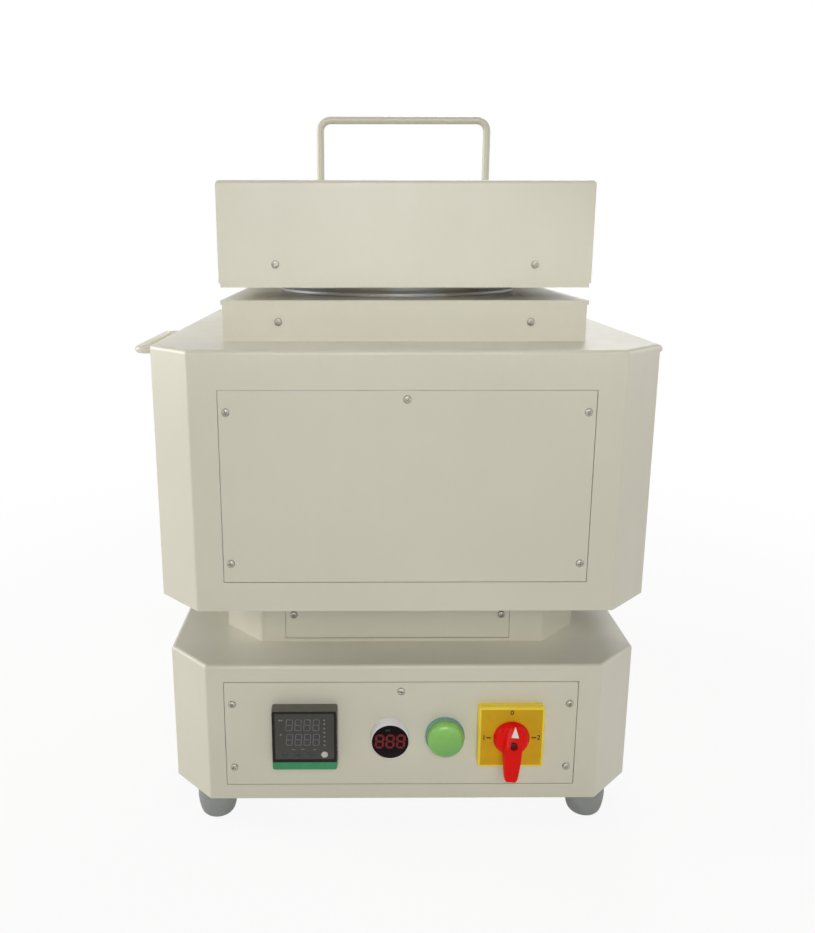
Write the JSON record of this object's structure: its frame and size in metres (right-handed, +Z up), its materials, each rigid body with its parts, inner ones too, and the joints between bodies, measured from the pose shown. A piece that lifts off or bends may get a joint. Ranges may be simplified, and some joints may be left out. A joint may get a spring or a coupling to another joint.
{
  "type": "metal melting furnace",
  "caption": "Free-standing electric crucible furnace: control box on feet, octagonal sheet housing, collar and lift-off lid with a rod handle.",
  "frame": {"origin": "centre of the plan, on the floor that the feet stand on", "axes": "+Z up through the lid handle; the control panel faces -Y; +X to the right of someone facing the panel"},
  "size_m": [0.428, 0.398, 0.5305],
  "materials": {
    "enamelled_sheet": "cream powder coat, semi-gloss",
    "inner_sheet": "zinc-plated sheet, satin",
    "handle_rod": "cream powder coat on steel rod",
    "mouth_steel": "heat-tinted turned steel",
    "screw_steel": "nickel-plated steel, satin",
    "foot_rubber": "grey rubber, matt",
    "controller_case_plastic": "black moulded plastic",
    "controller_window_plastic": "dark smoked window",
    "key_plastic": "grey rubberised key",
    "pale_key_plastic": "white key",
    "meter_plastic": "white moulded plastic",
    "meter_lens_plastic": "dark tinted window",
    "lamp_ring_plastic": "dark green moulded plastic",
    "lamp_lens_plastic": "translucent green lens",
    "switch_plate_plastic": "yellow moulded plastic",
    "switch_handle_plastic": "red moulded plastic",
    "inner_plastic": "dark moulded plastic",
    "terminal_plastic": "grey moulded plastic",
    "gland_plastic": "black polyamide",
    "insulation_board": "white vacuum-formed fibre board",
    "muffle_ceramic": "fired refractory, matt",
    "heating_strip": "oxidised resistance alloy",
    "crucible_clay": "clay graphite, matt"
  },
  "bodies": {
    "furnace": {"base_shell": "enamelled_sheet", "control_panel": "enamelled_sheet", "neck_shell": "enamelled_sheet", "neck_cover": "enamelled_sheet", "housing_shell": "enamelled_sheet", "front_cover": "enamelled_sheet", "collar_shell": "enamelled_sheet", "collar_top_plate": "enamelled_sheet", "base_floor_plate": "inner_sheet", "control_panel_frame": "inner_sheet", "front_cover_frame": "inner_sheet", "housing_floor": "inner_sheet", "mounting_rail": "inner_sheet", "side_handle_left": "handle_rod", "side_handle_right": "handle_rod", "mouth_ring": "mouth_steel", "foot_screws": "screw_steel", "control_panel_screws": "screw_steel", "neck_cover_screws": "screw_steel", "front_cover_screws": "screw_steel", "collar_screws": "screw_steel", "side_handle_nuts": "screw_steel", "rubber_feet": "foot_rubber", "controller_bezel": "controller_case_plastic", "controller_case": "controller_case_plastic", "controller_clip": "controller_case_plastic", "controller_window": "controller_window_plastic", "meter_bezel": "meter_plastic", "meter_window": "meter_lens_plastic", "pilot_lamp_ring": "lamp_ring_plastic", "pilot_lamp_lens": "lamp_lens_plastic", "switch_plate": "switch_plate_plastic", "contactor": "inner_plastic", "switch_body": "inner_plastic", "meter_nut": "inner_plastic", "pilot_lamp_nut": "inner_plastic", "terminal_block": "terminal_plastic", "mains_gland": "gland_plastic", "hearth_slab": "insulation_board", "wall_insulation": "insulation_board", "collar_insulation": "insulation_board", "muffle": "muffle_ceramic", "crucible_stand": "muffle_ceramic", "thermocouple": "muffle_ceramic", "heating_coil": "heating_strip", "crucible": "crucible_clay"},
    "lid": {"lid_shell": "enamelled_sheet", "lid_bottom_plate": "enamelled_sheet", "lid_insulation": "insulation_board", "lid_screws": "screw_steel", "lid_handle": "handle_rod", "lid_handle_nuts": "screw_steel"},
    "switch": {"switch_handle": "switch_handle_plastic", "switch_shaft": "screw_steel", "switch_handle_screw": "screw_steel"},
    "controller_key_1": {"controller_key_1": "key_plastic"},
    "controller_key_2": {"controller_key_2": "key_plastic"},
    "controller_key_3": {"controller_key_3": "key_plastic"},
    "controller_key_4": {"controller_key_4": "pale_key_plastic"}
  },
  "joints": [
    {"name": "lid_lift", "type": "slide", "parent": "furnace", "child": "lid", "axis": [0, 0, 1], "range_m": [0, 0.2]},
    {"name": "switch_turn", "type": "hinge", "parent": "furnace", "child": "switch", "pos_m": [0.0784, -0.175, 0.0778], "axis": [0, -1, 0], "range_deg": [-85, 95]},
    {"name": "key_1_press", "type": "slide", "parent": "furnace", "child": "controller_key_1", "axis": [0, 1, 0], "range_m": [0, 0.0005], "stiffness_N_per_m": 400},
    {"name": "key_2_press", "type": "slide", "parent": "furnace", "child": "controller_key_2", "axis": [0, 1, 0], "range_m": [0, 0.0005], "stiffness_N_per_m": 400},
    {"name": "key_3_press", "type": "slide", "parent": "furnace", "child": "controller_key_3", "axis": [0, 1, 0], "range_m": [0, 0.0005], "stiffness_N_per_m": 400},
    {"name": "key_4_press", "type": "slide", "parent": "furnace", "child": "controller_key_4", "axis": [0, 1, 0], "range_m": [0, 0.0005], "stiffness_N_per_m": 400}
  ]
}
